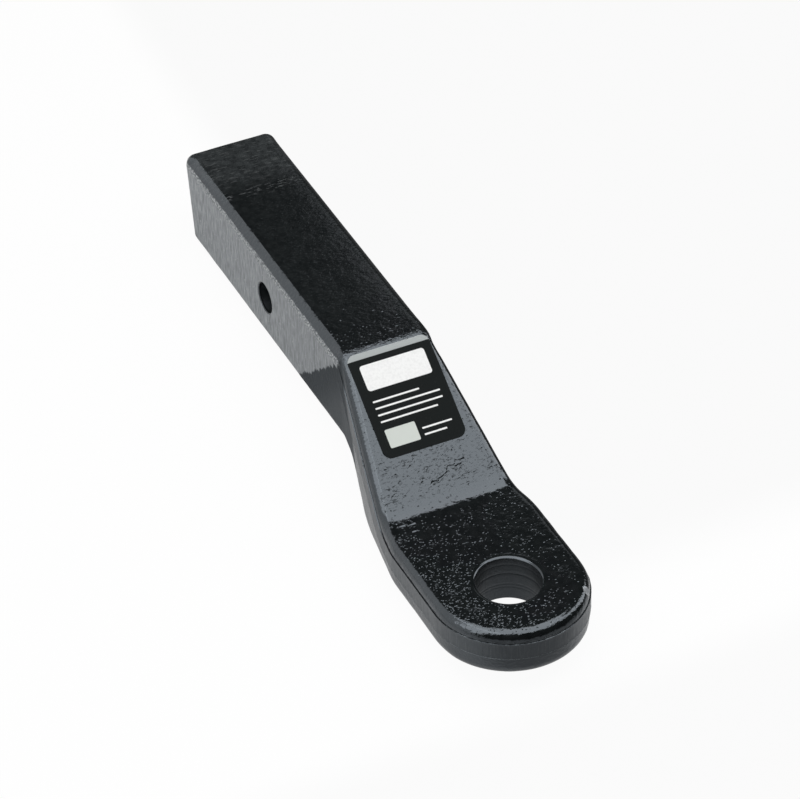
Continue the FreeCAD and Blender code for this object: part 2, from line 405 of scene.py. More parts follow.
def finish_zones(points):
    """The weight of each finish at every point, mostly 0 to 1, and the depth below the upper line."""
    x, y, z = points.T
    across = np.abs(y)
    ball = np.hypot(x - BALL_X, y)
    out = np.where(x < BALL_X, across - side_width(x), ball - TONGUE_HALF_WIDTH)
    stand = np.where(x < BALL_X, band_stand(x), BAND_PROUD)
    upper = upper_height(x)
    ragged = mottle(points, 3.0, 1, 3)
    patchy = 0.5 + 0.5 * mottle(points, 11.0, 2, 2)
    along_slope = (x - PIN_TO_BREAK) * math.cos(SLOPE) - (z - HALF_SHANK) * math.sin(SLOPE)
    on_top = grown(z - upper, *TOP_REACH)
    on_flat = grown(z - upper, *FLAT_TOP_REACH)
    off_rim = grown(ball, *RIM_FADE)
    pin_wall = np.hypot(x, z) < PIN_RADIUS + 1.0
    pin_mouth = pin_wall & (across > HALF_SHANK - PIN_HOLE_BREAK - 0.1)
    bore = (ball < BALL_RADIUS + 0.2) & (z < TONGUE_TOP - 0.4) & (z > TONGUE_BOTTOM + 0.4)
    flank = grown(across, *FLANK_REACH) * (1 - grown(z, *FLANK_TOP))
    flank = np.where(pin_wall & (across < HALF_SHANK - 0.07), 0.0, flank)
    planed_end = np.interp(z, *np.transpose(PLANED_EDGE)) + PLANED_RAGGED * ragged
    past_planed = grown(x, planed_end - PLANED_FADE, planed_end + PLANED_FADE)
    web_end = np.interp(z, *np.transpose(WEB_EDGE))
    tongue = grown(along_slope, *SLOPE_END)
    slope = grown(along_slope, *SLOPE_START) * (1 - tongue)
    near_break = grown(x, *BREAK_START) * (1 - grown(along_slope, *BREAK_END))
    left_of_hole = np.clip(0.5 - (y - 0.35 * (x - BALL_X)) / 70.0, 0, 1)

    zones = {}
    zones["planed"] = flank * (1 - past_planed)
    zones["web"] = grown(across, *WEB_REACH) * past_planed
    zones["web"] *= (1 - grown(x, web_end - 4, web_end + 1)) * (1 - 0.33 * grown(x - z, *WEB_SHADE))
    zones["sheared"] = grown(out / np.maximum(stand, 0.15), *SHEAR_REACH) * (z < upper - 4)
    zones["bored"] = np.where(bore | (pin_wall & ~pin_mouth), 1.0, 0.0)
    tongue_pits = 0.4 + 0.3 * left_of_hole + 0.4 * (patchy - 0.5)
    pits = 0.15 + 0.85 * near_break + slope * (0.5 + 0.5 * patchy) + tongue_pits * tongue
    zones["pitted"] = np.clip(pits, 0, 1.2) * off_rim * (0.25 + 0.75 * on_flat)
    tongue_grain = 0.4 + 0.5 * (1 - on_flat)
    grain = 1.35 * (1 - slope - tongue) + 0.5 * slope + tongue_grain * tongue
    zones["coarse"] = grain * (0.15 + 0.85 * off_rim)
    glints = 0.016 + 0.095 * left_of_hole ** 1.5 + 0.04 * (patchy - 0.5)
    zones["glinting"] = on_flat * off_rim * (glints * tongue + 0.018 * near_break)
    wrinkled = np.maximum(
        wrinkle_patch(along_slope, y, WRINKLES_MIDDLE), wrinkle_patch(along_slope, across, WRINKLES_CORNER))
    zones["flaked"] = on_top * slope * (0.6 + 0.35 * patchy + 0.25 * wrinkled)
    for flake_x, flake_y, size in FLAKES:
        near_flake = 1 - grown(np.hypot(x - flake_x, y - flake_y), 0.4 * size, size)
        zones["flaked"] = np.maximum(zones["flaked"], on_top * near_flake)
    zones["dashed"] = 0.12 * on_flat * patchy * (1 - 0.85 * grown(y, *DASH_RIGHT))
    zones["dashed"] *= grown(along_slope, *DASH_START) * (1 - grown(along_slope, *DASH_END))
    # Haze of wear at the shank's far end; a faint share of the haze tone over the rest of the shank top is
    # painted sheen
    hazed_end = 1 - grown(x + 3.0 * ragged, *HAZE_FADE)
    zones["haze_and_sheen"] = on_top * np.maximum(hazed_end, 0.1 * (1 - grown(x, *SHEEN_END)))
    zones["bruised"] = flank * grown(z + 1.5 * ragged, *BRUISE_HEIGHT)
    zones["bruised"] *= 1 - grown(x, planed_end - 3, planed_end + 3)
    zones["scarred"] = on_top * np.exp(-((x - SCAR_PLACE + 2.5 * ragged) / 3.2) ** 2)
    zones["sawn"] = 1 - grown(x + math.tan(END_LEAN) * z + PIN_TO_END, *SAWN_DEPTH)
    level = np.where(x < TONGUE_START, math.cos(SLOPE), 1.0)
    zones["below"] = (upper - z) * level * grown(out, *BAND_REACH) * grown(x, *BAND_START)
    return zones


def relief(points, zones):
    """Depth of the forged surface's marks at every point."""
    x, y, z = points.T
    across = np.abs(y)
    ball = np.hypot(x - BALL_X, y)
    over_top = z - upper_height(x)
    from_end = x + PIN_TO_END

    rough = (1 - zones["planed"]) * (1 - zones["bored"]) * (1 - zones["sawn"])
    rough = rough * grown(np.abs(ball - BALL_RADIUS - BALL_HOLE_BREAK / 2), 1.2, 4.0)
    rough = rough * grown(np.hypot(x, z), PIN_RADIUS + 0.8, PIN_RADIUS + 3.0)
    swell = SWELL_DEPTH * (0.5 + 0.5 * mottle(points, SWELL_SIZE, 3))
    grain = GRAIN_DEPTH * (0.5 + 0.5 * mottle(points, GRAIN_SIZE, 4, 2)) * (0.35 + 0.65 * zones["pitted"])
    pits = PIT_DEPTH * grown(mottle(points, PIT_SIZE, 5, 2), *PIT_EDGE) * zones["pitted"]
    depth = rough * (swell + grain + pits)

    core = HALF_SHANK - EDGE_RADIUS
    tilt = np.arctan2(np.maximum(across - core, 0), np.maximum(z - core, 1e-6))
    along_edge = points * np.array([1, FLAT_STRETCH, FLAT_STRETCH])
    ragged = FLAT_RAGGED * mottle(along_edge, FLAT_RAGGED_SIZE, 12, 3) * (1 - grown(tilt, 0.15, 0.45))
    over_flat = (across - core) * math.sin(FLAT_TILT) + (z - core) * math.cos(FLAT_TILT)
    over_flat = np.maximum(over_flat - FLAT_OFFSET - ragged, 0) / np.cos(tilt - FLAT_TILT) * (y < 0)
    over_flat *= grown(from_end, 1, 6) * (1 - grown(x, PIN_TO_BREAK - 12, PIN_TO_BREAK + 2))
    depth = np.where(over_flat > 0, 0.4 * depth, depth) + over_flat

    scar = np.exp(-((x - SCAR_PLACE + 1.1 * mottle(points, 6.0, 9, 2)) / SCAR_WIDTH) ** 2)
    depth += grown(over_top, -2.0, -0.6) * SCAR_DEPTH * scar * (0.6 + 0.6 * mottle(points, 4.0, 10))
    crown = CROWN_BEND / 2 * np.maximum(y - CROWN_START, 0) ** 2 * grown(over_top, -EDGE_RADIUS, -0.5)
    depth += crown * grown(from_end, 1, 8) * (1 - grown(x, PIN_TO_BREAK - 30, PIN_TO_BREAK - 8))

    turn = np.where(x < BALL_X, 0.0, np.arctan2(x - BALL_X, across))
    round_the_side = np.where(x < BALL_X, x, BALL_X + TONGUE_HALF_WIDTH * turn)
    shear_points = np.stack([round_the_side, np.sign(y) * 40, SHEAR_STRETCH * z], axis=1)
    depth += zones["sheared"] * SHEAR_DEPTH * (0.5 + 0.5 * mottle(shear_points, SHEAR_SIZE, 11, 2))
    flank = grown(across, *FLANK_REACH) * (x < FLARE_START + 12)
    depth += RAW_STEP * flank * (1 - zones["planed"]) * (1 - grown(x, PIN_TO_BREAK + 4, FLARE_START + 12))
    nick = np.hypot(x - NICK_X, y - NICK_Y)
    depth += NICK_DEPTH * (1 - grown(nick, 0.5, NICK_SIZE)) * (z > TONGUE_TOP - 5)
    for below, width, cut in BORE_RINGS:
        ring = np.exp(-((TONGUE_TOP - z - below) / width) ** 2)
        depth += zones["bored"] * (ball < BALL_RADIUS + 1) * cut * ring
    return np.maximum(depth, 0)


def forge_marks(bar):
    """Presses the marks into the bar's mesh and keeps the finish zones on its points."""
    mesh = bar.data
    count = len(mesh.vertices)
    places = np.empty(count * 3)
    normals = np.empty(count * 3)
    mesh.vertices.foreach_get("co", places)
    mesh.vertices.foreach_get("normal", normals)
    points = places.reshape(-1, 3) / MM
    zones = finish_zones(points)
    depth = relief(points, zones)
    points = points - depth[:, None] * normals.reshape(-1, 3)
    mesh.vertices.foreach_set("co", (points * MM).ravel())
    for name, weights in zones.items():
        mesh.attributes.new(name, "FLOAT", "POINT").data.foreach_set("value", weights.astype(np.float32))
    mesh.update()


def add_node(tree, kind, sockets=(), **settings):
    """A shader node with its settings and its sockets, which take values or other nodes' outputs."""
    node = tree.nodes.new("ShaderNode" + kind)
    for name, value in settings.items():
        setattr(node, name, value)
    for name, value in dict(sockets).items():
        if isinstance(value, bpy.types.NodeSocket):
            tree.links.new(value, node.inputs[name])
        else:
            node.inputs[name].default_value = value
    return node


def calc(tree, operation, *values):
    node = add_node(tree, "Math", dict(enumerate(values)), operation=operation)
    return node.outputs[0]


def product(tree, first, *others):
    for other in others:
        first = calc(tree, "MULTIPLY", first, other)
    return first


def total(tree, first, *others):
    for other in others:
        first = calc(tree, "ADD", first, other)
    return first


def stepped(tree, value, low, high, to_low=0.0, to_high=1.0):
    node = add_node(tree, "MapRange", {
        "Value": value, "From Min": low, "From Max": high, "To Min": to_low, "To Max": to_high,
    }, interpolation_type="SMOOTHSTEP")
    return node.outputs["Result"]


def blended(tree, weight, first, second):
    """Mix of two colours; a Mix node has its colours at inputs 6 and 7 and output 2."""
    node = add_node(tree, "Mix", {"Factor": weight}, data_type="RGBA")
    for socket, value in ((node.inputs[6], first), (node.inputs[7], second)):
        if isinstance(value, bpy.types.NodeSocket):
            tree.links.new(value, socket)
        else:
            socket.default_value = (*value, 1.0)
    return node.outputs[2]


def mottled(tree, vector, scale, detail=2.0, roughness=0.55):
    sockets = {"Vector": vector, "Scale": scale, "Detail": detail, "Roughness": roughness}
    return add_node(tree, "TexNoise", sockets).outputs["Fac"]


def stretched(tree, vector, scale):
    return add_node(tree, "Mapping", {"Vector": vector, "Scale": scale}).outputs["Vector"]


def zone(tree, name):
    return add_node(tree, "Attribute", attribute_name=name).outputs["Fac"]


def new_group(name, inputs, outputs):
    tree = bpy.data.node_groups.new(name, "ShaderNodeTree")
    for socket, kind, value in inputs:
        made = tree.interface.new_socket(socket, in_out="INPUT", socket_type="NodeSocket" + kind)
        if value is not None:
            made.default_value = value
    for socket in outputs:
        tree.interface.new_socket(socket, in_out="OUTPUT", socket_type="NodeSocketFloat")
    return tree, tree.nodes.new("NodeGroupInput").outputs, tree.nodes.new("NodeGroupOutput").inputs


def use_group(tree, group, **sockets):
    named = {name.replace("_", " ").title(): value for name, value in sockets.items()}
    return add_node(tree, "Group", named, node_tree=group).outputs


def new_finish(name):
    material = bpy.data.materials.new(name)
    material.use_nodes = True
    tree = material.node_tree
    return material, tree, tree.nodes["Principled BSDF"].inputs


# Pits of the skin: noise level of their edge, how far a pitted place lowers it, their floor, their steepness
PIT_LEVEL, PIT_SPREAD, PIT_FLOOR, PIT_STEEPNESS = 0.81, 0.19, 0.16, 5.5
# Lean of the pits' walls, forward and aside: spread and start
LEAN_FORWARD = (-2200.0, -1100.0)
LEAN_ASIDE = (1600.0, -800.0)


def forged_skin_group():
    """Grain and small pits of a forging under paint, as a height."""
    tree, given, result = new_group("forged_skin", [
        ("Vector", "Vector", None), ("Grain Scale", "Float", 380.0), ("Grain", "Float", 1.0),
        ("Pit Scale", "Float", 520.0), ("Pitted", "Float", 0.5),
    ], ["Height"])
    grain = product(tree, mottled(tree, given["Vector"], given["Grain Scale"], 3.0, 0.5), given["Grain"])
    pit_noise = mottled(tree, given["Vector"], given["Pit Scale"], 1.5, 0.5)
    edge = calc(tree, "MULTIPLY_ADD", given["Pitted"], -PIT_SPREAD, PIT_LEVEL)
    pits = calc(tree, "MAXIMUM", calc(tree, "SUBTRACT", pit_noise, edge), 0.0)
    pits = calc(tree, "MINIMUM", pits, PIT_FLOOR)
    height = calc(tree, "SUBTRACT", grain, product(tree, pits, PIT_STEEPNESS))
    tree.links.new(height, result["Height"])
    return tree


def printed_field_group():
    """Mask of a rectangle with rounded corners, in millimetres on the label."""
    tree, given, result = new_group("printed_field", [
        ("Along", "Float", 0.0), ("Across", "Float", 0.0), ("Middle Along", "Float", 0.0),
        ("Middle Across", "Float", 0.0), ("Half Along", "Float", 1.0), ("Half Across", "Float", 1.0),
        ("Corner", "Float", 0.3),
    ], ["Mask"])
    overs = []
    for axis in ("Along", "Across"):
        reach = calc(tree, "ABSOLUTE", calc(tree, "SUBTRACT", given[axis], given["Middle " + axis]))
        straight = calc(tree, "SUBTRACT", given["Half " + axis], given["Corner"])
        overs.append(calc(tree, "MAXIMUM", calc(tree, "SUBTRACT", reach, straight), 0.0))
    squares = [calc(tree, "POWER", over, 2.0) for over in overs]
    gap = calc(tree, "SUBTRACT", calc(tree, "SQRT", calc(tree, "ADD", *squares)), given["Corner"])
    tree.links.new(stepped(tree, gap, 0.12, -0.12), result["Mask"])
    return tree


def pit_walls(tree, place, scale, share):
    """Height of small flat facets that lean forward, in that share of the cells, as the walls of pits do."""
    cells = add_node(tree, "TexVoronoi", {"Vector": place, "Scale": scale}).outputs
    chance = add_node(tree, "SeparateColor", {"Color": cells["Color"]}).outputs
    offset = add_node(tree, "VectorMath", {0: place, 1: cells["Position"]}, operation="SUBTRACT")
    offset = add_node(tree, "SeparateXYZ", {"Vector": offset.outputs["Vector"]}).outputs
    forward = product(tree, offset["X"], calc(tree, "MULTIPLY_ADD", chance["Green"], *LEAN_FORWARD))
    aside = product(tree, offset["Y"], calc(tree, "MULTIPLY_ADD", chance["Blue"], *LEAN_ASIDE))
    return product(tree, total(tree, forward, aside), calc(tree, "LESS_THAN", chance["Red"], share))


def slope_lengths(tree, place):
    """Millimetres down the slope from the upper break, and across it."""
    split = add_node(tree, "SeparateXYZ", {"Vector": place}).outputs
    ahead = calc(tree, "MULTIPLY_ADD", split["X"], math.cos(SLOPE) / MM, -PIN_TO_BREAK * math.cos(SLOPE))
    down = calc(tree, "MULTIPLY_ADD", split["Z"], -math.sin(SLOPE) / MM, HALF_SHANK * math.sin(SLOPE))
    return total(tree, ahead, down), product(tree, split["Y"], 1 / MM)


def long_crack(tree, place):
    """One jagged line across the slope, from CRACK_START to CRACK_END."""
    along, across = slope_lengths(tree, place)
    wander = calc(tree, "MULTIPLY_ADD", mottled(tree, place, 200.0, 1.5, 0.5), 9.0, -4.5)
    along = total(tree, along, wander)
    run = Vector(CRACK_END) - Vector(CRACK_START)
    length = run.length
    run.normalize()
    ahead = calc(tree, "SUBTRACT", along, CRACK_START[0])
    aside = calc(tree, "SUBTRACT", across, CRACK_START[1])
    travel = calc(tree, "MULTIPLY_ADD", ahead, run.x, product(tree, aside, run.y))
    gap = calc(tree, "MULTIPLY_ADD", ahead, run.y, product(tree, aside, -run.x))
    line = stepped(tree, calc(tree, "ABSOLUTE", gap), 1.2, 0.3)
    begun = stepped(tree, travel, -1.5, 1.0)
    unended = stepped(tree, travel, length + 1.5, length - 1.0)
    return product(tree, line, begun, unended)


# Tones of the paint and of the bare and worn metal, with painted highlight, shade and sheen among them
PAINT_TONES = (0.0052, 0.0064, 0.0068), (0.0092, 0.0108, 0.0112)
HAZE_AND_SHEEN_TONE = (0.03, 0.0335, 0.0345)
SHEAR_TONE = (0.02, 0.0222, 0.023)
LIP_HIGHLIGHT_TONE = (0.065, 0.07, 0.072)
SCRATCH_TONE = (0.085, 0.09, 0.092)
SEAM_SHADE_TONE = (0.002, 0.0022, 0.0023)
SAW_TONE = (0.022, 0.0245, 0.0255)
PLANED_TONES = (0.095, 0.101, 0.105), (0.262, 0.275, 0.283)
LONG_STROKE_TONE = (0.09, 0.096, 0.1)
WORN_TONE = (0.34, 0.354, 0.363)
NECKWARD_DARK_TONE = (0.06, 0.063, 0.066)
BRUISE_TONES = (0.055, 0.059, 0.061), (0.42, 0.432, 0.43)
CHIP_TONE = (0.3, 0.315, 0.33)
# How far along the shank, in metres, the planed side darkens, and by how much
DARKENING_START, DARKENING_END, DARKENING_SHARE = -0.04, 0.06, 0.2
# How much rougher than the gloss paint each finish is
GLOSS_ROUGHNESS = (0.06, 0.12)
ROUGHER = {"planed": 0.35, "web": 0.85, "bored": 0.34, "sheared": 0.28, "haze_and_sheen": 0.15, "sawn": 0.25}
DULL_SPOT_ROUGHER = 0.4
PAINT_IOR, PAINT_TINT, PAINT_BUMP = 1.7, (0.9, 1.0, 1.1, 1.0), 0.22 * MM
# How far the grain and the marks run, along, across and up the bar
SKIN_STRETCH = (1.0, 0.6, 1.0)
FLAKE_STRETCH = (1.0, 0.62, 1.0)
DASH_STRETCH = (1.0, 0.25, 1.0)
SCRATCH_STRETCH = (1.0, 0.22, 1.0)
STROKE_STRETCH = (1.0, 1.0, 0.09)
LONG_STROKE_STRETCH = (1.0, 1.0, 0.02)
BORE_STRETCH = (0.02, 0.02, 1.0)
SAW_STRETCH = (1.0, 0.03, 1.0)
PAINT_ZONES = (
    "planed", "web", "sheared", "bored", "pitted", "coarse", "glinting",
    "flaked", "dashed", "haze_and_sheen", "bruised", "scarred", "sawn", "below",
)


def seam_line(tree, place, below):
    """Broken line that wanders along the flash band's upper edge."""
    wander = calc(tree, "MULTIPLY_ADD", mottled(tree, place, 110.0, 4.0, 0.6), 7.0, -3.5)
    gap = calc(tree, "SUBTRACT", below, calc(tree, "ADD", wander, BAND_DEPTH - 1.0))
    line = stepped(tree, calc(tree, "ABSOLUTE", gap), 0.18, 0.04)
    return product(tree, line, stepped(tree, mottled(tree, place, 70.0), 0.38, 0.52))


def paint_masks(tree, place):
    """The finish zones, and the marks that both the height and the colour of the paint follow, by name."""
    masks = {name: zone(tree, name) for name in PAINT_ZONES}
    torn = calc(tree, "MULTIPLY_ADD", mottled(tree, place, 900.0), 0.7, -0.35)
    masks["planed"] = stepped(tree, calc(tree, "ADD", masks["planed"], torn), 0.42, 0.58)
    masks["seam"] = seam_line(tree, place, masks["below"])
    masks["strokes"] = mottled(tree, stretched(tree, place, STROKE_STRETCH), 1300.0, 2.0, 0.5)
    masks["saw_marks"] = mottled(tree, stretched(tree, place, SAW_STRETCH), 1200.0, 2.0, 0.5)
    # Random mottle that sets the paint's gloss and its tone; the tone part is partly painted sheen
    masks["dust"] = mottled(tree, place, 260.0, 4.0, 0.6)
    return masks


def paint_height(tree, place, masks, forged_skin):
    """Height of the marks that are too fine for the mesh."""
    skin_place = stretched(tree, place, SKIN_STRETCH)
    skin = use_group(tree, forged_skin, vector=skin_place, grain_scale=700.0, grain=masks["coarse"],
                     pit_scale=560.0, pitted=masks["pitted"])
    flakes = use_group(tree, forged_skin, vector=stretched(tree, place, FLAKE_STRETCH), grain=0.0,
                       pit_scale=620.0, pitted=masks["flaked"])
    flake_height = product(tree, flakes["Height"], stepped(tree, masks["flaked"], 0.02, 0.2))
    glints = pit_walls(tree, skin_place, 2300.0, masks["glinting"])
    dashes = pit_walls(tree, stretched(tree, place, DASH_STRETCH), 1100.0, masks["dashed"])
    cut = calc(tree, "MAXIMUM", masks["planed"], masks["sheared"])
    uncut = calc(tree, "SUBTRACT", 1.0, calc(tree, "MAXIMUM", cut, masks["bored"]))
    bore_marks = mottled(tree, stretched(tree, place, BORE_STRETCH), 1800.0, 2.0, 0.5)
    lip = stepped(tree, masks["below"], BAND_DEPTH + BAND_HEIGHT - 0.3, BAND_DEPTH + BAND_HEIGHT)
    raised = total(
        tree,
        product(tree, total(tree, skin["Height"], flake_height, glints, dashes), uncut),
        product(tree, masks["strokes"], 0.5, cut),
        product(tree, bore_marks, 0.3, masks["bored"]),
        product(tree, masks["saw_marks"], 0.4, masks["sawn"]),
        lip,
    )
    sunk = calc(tree, "MAXIMUM", long_crack(tree, place), product(tree, masks["seam"], 0.6))
    return calc(tree, "SUBTRACT", raised, sunk)


def planed_metal(tree, place, strokes):
    """Colour of the planed sides, with strokes and worn grain, darker towards the neck."""
    long_strokes = mottled(tree, stretched(tree, place, LONG_STROKE_STRETCH), 620.0, 1.0, 0.5)
    grain = mottled(tree, place, 700.0, 3.0, 0.6)
    ahead = add_node(tree, "SeparateXYZ", {"Vector": place}).outputs["X"]
    colour = blended(tree, stepped(tree, strokes, 0.34, 0.66), *PLANED_TONES)
    colour = blended(tree, stepped(tree, long_strokes, 0.37, 0.3), colour, LONG_STROKE_TONE)
    colour = blended(tree, stepped(tree, grain, 0.6, 0.72), colour, WORN_TONE)
    return blended(tree, stepped(tree, ahead, DARKENING_START, DARKENING_END, 0.0, DARKENING_SHARE), colour, NECKWARD_DARK_TONE)


def chip(tree, place):
    """Mask of the bare chip on the nose."""
    from_nick = add_node(tree, "VectorMath", {0: place, 1: NICK_POINT}, operation="DISTANCE").outputs["Value"]
    edge = calc(tree, "MULTIPLY_ADD", mottled(tree, place, 600.0), 1.6 * MM, -0.8 * MM)
    return stepped(tree, calc(tree, "ADD", from_nick, edge), 2.5 * MM, 2.2 * MM)


def paint_colour(tree, place, masks):
    """Colour of the bar: black paint, its mottle partly painted sheen, with haze and painted sheen, a painted
    highlight line, scratches, a painted shade line, bruises and bare metal laid over it in turn.
    """
    dust, strokes = masks["dust"], masks["strokes"]
    from_lip = calc(tree, "SUBTRACT", masks["below"], BAND_DEPTH + BAND_HEIGHT)
    lip_highlight = stepped(tree, calc(tree, "ABSOLUTE", from_lip), 0.45, 0.1)
    scratches = stepped(tree, mottled(tree, stretched(tree, place, SCRATCH_STRETCH), 1000.0), 0.54, 0.68)
    scratched = calc(tree, "MAXIMUM", masks["scarred"], product(tree, masks["haze_and_sheen"], 0.45))
    bruises = mottled(tree, place, 950.0)
    layers = [
        # Haze: wear at the far end, and painted sheen over the rest of the shank top
        (product(tree, masks["haze_and_sheen"], stepped(tree, dust, 0.35, 0.65, 0.35, 1.0)), HAZE_AND_SHEEN_TONE),
        (product(tree, masks["sheared"], stepped(tree, strokes, 0.5, 0.66)), SHEAR_TONE),
        # Painted highlight: a light line along the foot of the flash band
        (product(tree, lip_highlight, stepped(tree, dust, 0.35, 0.6)), LIP_HIGHLIGHT_TONE),
        (product(tree, scratched, scratches), SCRATCH_TONE),
        # Painted shade: a dark line along the seam's groove at the band's upper edge
        (product(tree, masks["seam"], 0.45), SEAM_SHADE_TONE),
        (product(tree, masks["sawn"], stepped(tree, masks["saw_marks"], 0.4, 0.65)), SAW_TONE),
        (masks["planed"], planed_metal(tree, place, strokes)),
        (product(tree, masks["bruised"], stepped(tree, bruises, 0.5, 0.55)), BRUISE_TONES[0]),
        (product(tree, masks["bruised"], stepped(tree, bruises, 0.46, 0.41)), BRUISE_TONES[1]),
        (chip(tree, place), CHIP_TONE),
    ]
    # The paint's mottle is partly painted sheen: a random lighter and darker tone stands in for the grain's
    # relief shading
    colour = blended(tree, stepped(tree, dust, 0.3, 0.75), *PAINT_TONES)
    for weight, tone in layers:
        colour = blended(tree, weight, colour, tone)
    return colour


def paint_roughness(tree, place, masks):
    spots = stepped(tree, mottled(tree, stretched(tree, place, SKIN_STRETCH), 1000.0, 2.0, 0.6), 0.53, 0.64)
    rougher = [product(tree, masks[name], more) for name, more in ROUGHER.items()]
    rougher.append(product(tree, masks["flaked"], spots, DULL_SPOT_ROUGHER))
    return total(tree, stepped(tree, masks["dust"], 0.3, 0.8, *GLOSS_ROUGHNESS), *rougher)


def black_paint(forged_skin):
    material, tree, shader = new_finish("black_paint")
    place = add_node(tree, "TexCoord").outputs["Object"]
    masks = paint_masks(tree, place)
    height = paint_height(tree, place, masks, forged_skin)
    bump = add_node(tree, "Bump", {"Height": height, "Distance": PAINT_BUMP, "Strength": 1.0})
    tree.links.new(bump.outputs["Normal"], shader["Normal"])
    tree.links.new(paint_colour(tree, place, masks), shader["Base Color"])
    tree.links.new(paint_roughness(tree, place, masks), shader["Roughness"])
    shader["IOR"].default_value = PAINT_IOR
    shader["Specular Tint"].default_value = PAINT_TINT
    return material


# Blank data label: middle along the slope, middle across, half length, half width, corner, in millimetres
WHITE_FIELDS = [
    (15.0, 0.0, 6.8, 17.6, 1.6),
    (27.6, -5.0, 0.45, 12.6, 0.3), (31.2, 0.0, 0.45, 17.6, 0.3), (34.8, 0.0, 0.45, 17.6, 0.3),
    (38.4, -2.0, 0.45, 15.6, 0.3),
    (47.4, 9.5, 0.45, 8.1, 0.3), (50.8, 7.5, 0.45, 6.1, 0.3),
]
PALE_FIELD = (47.6, -9.4, 4.9, 8.2, 0.8)
# The head strip is a painted reflection: a light band across the label's top, near the upper break
HEAD_REFLECTION_STRIP = (3.0, 0.0, 1.9, 30.0, 0.2)
INK_TONES = (0.0055, 0.0075, 0.0075), (0.0105, 0.0125, 0.0125)
WHITE_TONES = (0.78, 0.785, 0.78), (0.84, 0.845, 0.84)
PALE_TONE = (0.585, 0.62, 0.585)
HEAD_REFLECTION_TONE = (0.36, 0.385, 0.385)
FILM_ROUGHNESS, FILM_SPECULAR, FILM_BUMP = (0.28, 0.42), 0.05, 0.03 * MM


def label_film(forged_skin):
    material, tree, shader = new_finish("label_film")
    printed_field = printed_field_group()
    place = add_node(tree, "TexCoord").outputs["Object"]
    along, across = slope_lengths(tree, place)

    def field(size):
        names = ("middle_along", "middle_across", "half_along", "half_across", "corner")
        return use_group(tree, printed_field, along=along, across=across, **dict(zip(names, size)))["Mask"]

    white = field(WHITE_FIELDS[0])
    for size in WHITE_FIELDS[1:]:
        white = calc(tree, "MAXIMUM", white, field(size))
    skin = use_group(tree, forged_skin, vector=place, grain_scale=500.0, grain=0.6, pitted=0.4)
    scuffs = mottled(tree, place, 700.0, 4.0, 0.65)
    ink = blended(tree, stepped(tree, scuffs, 0.55, 0.75), *INK_TONES)
    white_ink = blended(tree, stepped(tree, scuffs, 0.35, 0.6), *WHITE_TONES)
    colour = blended(tree, white, ink, white_ink)
    colour = blended(tree, field(PALE_FIELD), colour, PALE_TONE)
    # Painted reflection across the label's top
    colour = blended(tree, field(HEAD_REFLECTION_STRIP), colour, HEAD_REFLECTION_TONE)
    tree.links.new(colour, shader["Base Color"])
    tree.links.new(stepped(tree, scuffs, 0.3, 0.8, *FILM_ROUGHNESS), shader["Roughness"])
    bump = add_node(tree, "Bump", {"Height": skin["Height"], "Distance": FILM_BUMP, "Strength": 1.0})
    tree.links.new(bump.outputs["Normal"], shader["Normal"])
    shader["Specular IOR Level"].default_value = FILM_SPECULAR
    return material


bar = forged_bar()
forge_marks(bar)
bar.data.shade_smooth()
bar.data.set_sharp_from_angle(angle=SHARP_ANGLE)
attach(bar, BODY)
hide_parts(FORGING)

forged_skin = forged_skin_group()
bar.data.materials.clear()
bar.data.materials.append(black_paint(forged_skin))
label = bpy.data.objects[LABEL]
label.data.materials.clear()
label.data.materials.append(label_film(forged_skin))


# Camera, from the outline, the label's corners and both holes in the photograph
VIEW_AZIMUTH = math.radians(-25.16)
VIEW_ELEVATION = math.radians(39.13)
VIEW_ROLL = math.radians(-0.884)
VIEW_DISTANCE = 2073.26
VIEW_TARGET = Vector((110.0, 0.0, -10.0))
FOCAL_PIXELS = 4175.4
SHIFT_PIXELS = (3.22, 21.07)
IMAGE_WIDTH = 800
SENSOR_WIDTH = 36.0


def photo_camera():
    back = Vector((
        math.cos(VIEW_AZIMUTH) * math.cos(VIEW_ELEVATION),
        math.sin(VIEW_AZIMUTH) * math.cos(VIEW_ELEVATION),
        math.sin(VIEW_ELEVATION),
    ))
    level = Vector((-math.sin(VIEW_AZIMUTH), math.cos(VIEW_AZIMUTH), 0))
    upright = back.cross(level)
    right = level * math.cos(VIEW_ROLL) + upright * math.sin(VIEW_ROLL)
    up = upright * math.cos(VIEW_ROLL) - level * math.sin(VIEW_ROLL)
    data = bpy.data.cameras.new("photo_camera")
    data.sensor_fit = "HORIZONTAL"
    data.sensor_width = SENSOR_WIDTH
    data.lens = FOCAL_PIXELS * SENSOR_WIDTH / IMAGE_WIDTH
    data.shift_x = -SHIFT_PIXELS[0] / IMAGE_WIDTH
    data.shift_y = SHIFT_PIXELS[1] / IMAGE_WIDTH
    data.clip_end = 50
    camera = bpy.data.objects.new("photo_camera", data)
    bpy.context.scene.collection.objects.link(camera)
    turn = Matrix((right, up, back)).transposed().to_4x4()
    camera.matrix_world = Matrix.Translation((VIEW_TARGET + back * VIEW_DISTANCE) * MM) @ turn
    bpy.context.scene.camera = camera


# The bar lies on the floor on its shank's end and its heel, so the floor leans in the bar's frame
HEEL_POINT = Vector((0.1409, 0, -0.0505))
FLOOR_LEAN = math.radians(6.17)
FLOOR_SIZE = 12.0
# The paper's tones, with painted shade on it in front of the bar and behind it on its right: the shade's
# tone, and from where to where it sets in, in metres from the heel
PAPER_TONES = (0.74, 0.74, 0.74), (0.78, 0.78, 0.78)
FRONT_SHADE_TONE, FLOOR_FRONT = (0.22, 0.22, 0.22), (0.115, 0.15)
BEHIND_SHADE_TONE, FLOOR_BEHIND, FLOOR_RIGHT = (0.08, 0.08, 0.08), (0.09, 0.04), (0.0, 0.03)
PAPER_ROUGHNESS, PAPER_SPECULAR = 0.9, 0.1
